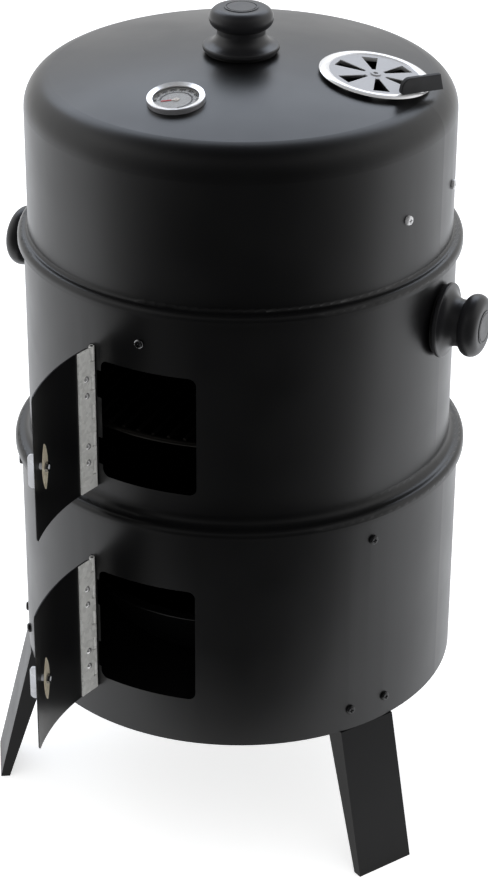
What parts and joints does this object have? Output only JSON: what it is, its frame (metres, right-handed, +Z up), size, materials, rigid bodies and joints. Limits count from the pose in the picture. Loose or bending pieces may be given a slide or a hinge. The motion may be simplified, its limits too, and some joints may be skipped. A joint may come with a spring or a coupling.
{
  "type": "upright barrel smoker",
  "caption": "Upright charcoal smoker: stacked black steel barrel on splayed legs, side doors with twist latches, grates, bowls and a domed lid with thermometer and damper.",
  "frame": {"origin": "on the floor under the barrel's vertical axis, midway between the three feet", "axes": "+Z up along the barrel, -Y out of the front where the doors are, +X to the right seen from the front"},
  "size_m": [0.4837, 0.563, 0.7937],
  "materials": {
    "barrel_paint": "satin heat-resistant black paint",
    "leg_paint": "satin black paint",
    "black_screw": "black oxide",
    "zinc_fastener": "bright zinc plating",
    "bracket_steel": "plain strip steel",
    "galvanised_hinge": "galvanised sheet",
    "rivet_steel": "bright rivet",
    "latch_steel": "bright plated",
    "latch_cam_plate": "pale yellow zinc plating",
    "bowl_enamel": "gloss black enamel",
    "grate_wire": "plated wire",
    "knob_plastic": "moulded phenolic, satin",
    "knob_cap_plastic": "moulded cap, satin",
    "spacer_plastic": "black fibre washer",
    "bezel_chrome": "polished",
    "thermometer_steel": "plain",
    "dial_face": "printed pale dial",
    "needle_red": "red paint",
    "dial_glass": "clear",
    "damper_steel": "bright rim, matt centre",
    "grip_rubber": "black silicone sleeve"
  },
  "bodies": {
    "base": {"lower_barrel": "barrel_paint", "ash_floor": "barrel_paint", "leg_front_right": "leg_paint", "leg_front_left": "leg_paint", "leg_rear": "leg_paint", "leg_screws": "black_screw", "base_nuts": "zinc_fastener", "bowl_brackets": "bracket_steel", "bowl_bracket_screws": "black_screw", "lower_hinge_frame_leaf": "galvanised_hinge", "lower_hinge_frame_rivets": "rivet_steel", "lower_hinge_pin": "galvanised_hinge"},
    "lower_door": {"lower_door_panel": "barrel_paint", "lower_hinge_door_leaf": "galvanised_hinge", "lower_hinge_door_rivets": "rivet_steel"},
    "lower_latch": {"lower_latch_handle": "latch_steel", "lower_latch_cam": "latch_cam_plate", "lower_latch_nut": "zinc_fastener"},
    "charcoal_tray": {"charcoal_bowl": "bowl_enamel", "charcoal_grate": "grate_wire"},
    "water_pan": {"water_bowl": "bowl_enamel"},
    "chamber": {"middle_barrel": "barrel_paint", "grate_brackets": "bracket_steel", "grate_bracket_screws": "zinc_fastener", "grate_bracket_nuts": "zinc_fastener", "lower_grate_ledges": "bracket_steel", "right_side_knob": "knob_plastic", "left_side_knob": "knob_plastic", "side_knob_caps": "knob_cap_plastic", "side_knob_spacers": "spacer_plastic", "side_knob_screws": "zinc_fastener", "upper_hinge_frame_leaf": "galvanised_hinge", "upper_hinge_frame_rivets": "rivet_steel", "upper_hinge_pin": "galvanised_hinge"},
    "upper_door": {"upper_door_panel": "barrel_paint", "upper_hinge_door_leaf": "galvanised_hinge", "upper_hinge_door_rivets": "rivet_steel"},
    "upper_latch": {"upper_latch_handle": "latch_steel", "upper_latch_cam": "latch_cam_plate", "upper_latch_nut": "zinc_fastener"},
    "lower_rack": {"lower_grate": "grate_wire"},
    "upper_rack": {"upper_grate": "grate_wire"},
    "lid": {"lid_shell": "barrel_paint", "lid_knob": "knob_plastic", "lid_knob_cap": "knob_cap_plastic", "lid_knob_spacer": "spacer_plastic", "lid_knob_screw": "zinc_fastener", "lid_hook": "bracket_steel", "lid_hook_screws": "zinc_fastener", "lid_hook_nuts": "zinc_fastener", "thermometer_case": "thermometer_steel", "thermometer_bezel": "bezel_chrome", "thermometer_dial": "dial_face", "thermometer_glass": "dial_glass", "thermometer_stem": "thermometer_steel", "thermometer_nut": "zinc_fastener", "damper_rivet": "rivet_steel"},
    "needle": {"thermometer_needle": "needle_red"},
    "damper": {"damper_disc": "damper_steel", "damper_grip": "grip_rubber"}
  },
  "joints": [
    {"name": "chamber_lift", "type": "slide", "parent": "base", "child": "chamber", "axis": [0, 0, 1], "range_m": [0, 0.25]},
    {"name": "lid_lift", "type": "slide", "parent": "chamber", "child": "lid", "axis": [0, 0, 1], "range_m": [0, 0.25]},
    {"name": "water_bowl_lift", "type": "slide", "parent": "base", "child": "water_pan", "axis": [0, 0, 1], "range_m": [0, 0.05]},
    {"name": "charcoal_bowl_lift", "type": "slide", "parent": "base", "child": "charcoal_tray", "axis": [0, 0, 1], "range_m": [0, 0.02]},
    {"name": "lower_grate_lift", "type": "slide", "parent": "chamber", "child": "lower_rack", "axis": [0, 0, 1], "range_m": [0, 0.04]},
    {"name": "upper_grate_lift", "type": "slide", "parent": "chamber", "child": "upper_rack", "axis": [0, 0, 1], "range_m": [0, 0.016]},
    {"name": "lower_door_swing", "type": "hinge", "parent": "base", "child": "lower_door", "pos_m": [-0.0549, -0.20477, 0.253], "axis": [0, 0, -1], "range_deg": [-90, 70]},
    {"name": "upper_door_swing", "type": "hinge", "parent": "chamber", "child": "upper_door", "pos_m": [-0.0549, -0.19523, 0.464], "axis": [0, 0, -1], "range_deg": [-90, 70]},
    {"name": "lower_latch_turn", "type": "hinge", "parent": "lower_door", "child": "lower_latch", "pos_m": [-0.05749, -0.30283, 0.25], "axis": [-0.979, -0.2038, 0], "range_deg": [0, 90]},
    {"name": "upper_latch_turn", "type": "hinge", "parent": "upper_door", "child": "upper_latch", "pos_m": [-0.05808, -0.29115, 0.461], "axis": [-0.9793, -0.2025, 0], "range_deg": [0, 90]},
    {"name": "damper_turn", "type": "hinge", "parent": "lid", "child": "damper", "pos_m": [0.1236, 0.01321, 0.74235], "axis": [0.1545, 0.0165, 0.9879], "range_deg": [-30, 30]},
    {"name": "needle_turn", "type": "hinge", "parent": "lid", "child": "needle", "pos_m": [-0.00816, -0.11671, 0.74346], "axis": [0.0102, 0.1459, -0.9892], "range_deg": [-10, 240]}
  ]
}
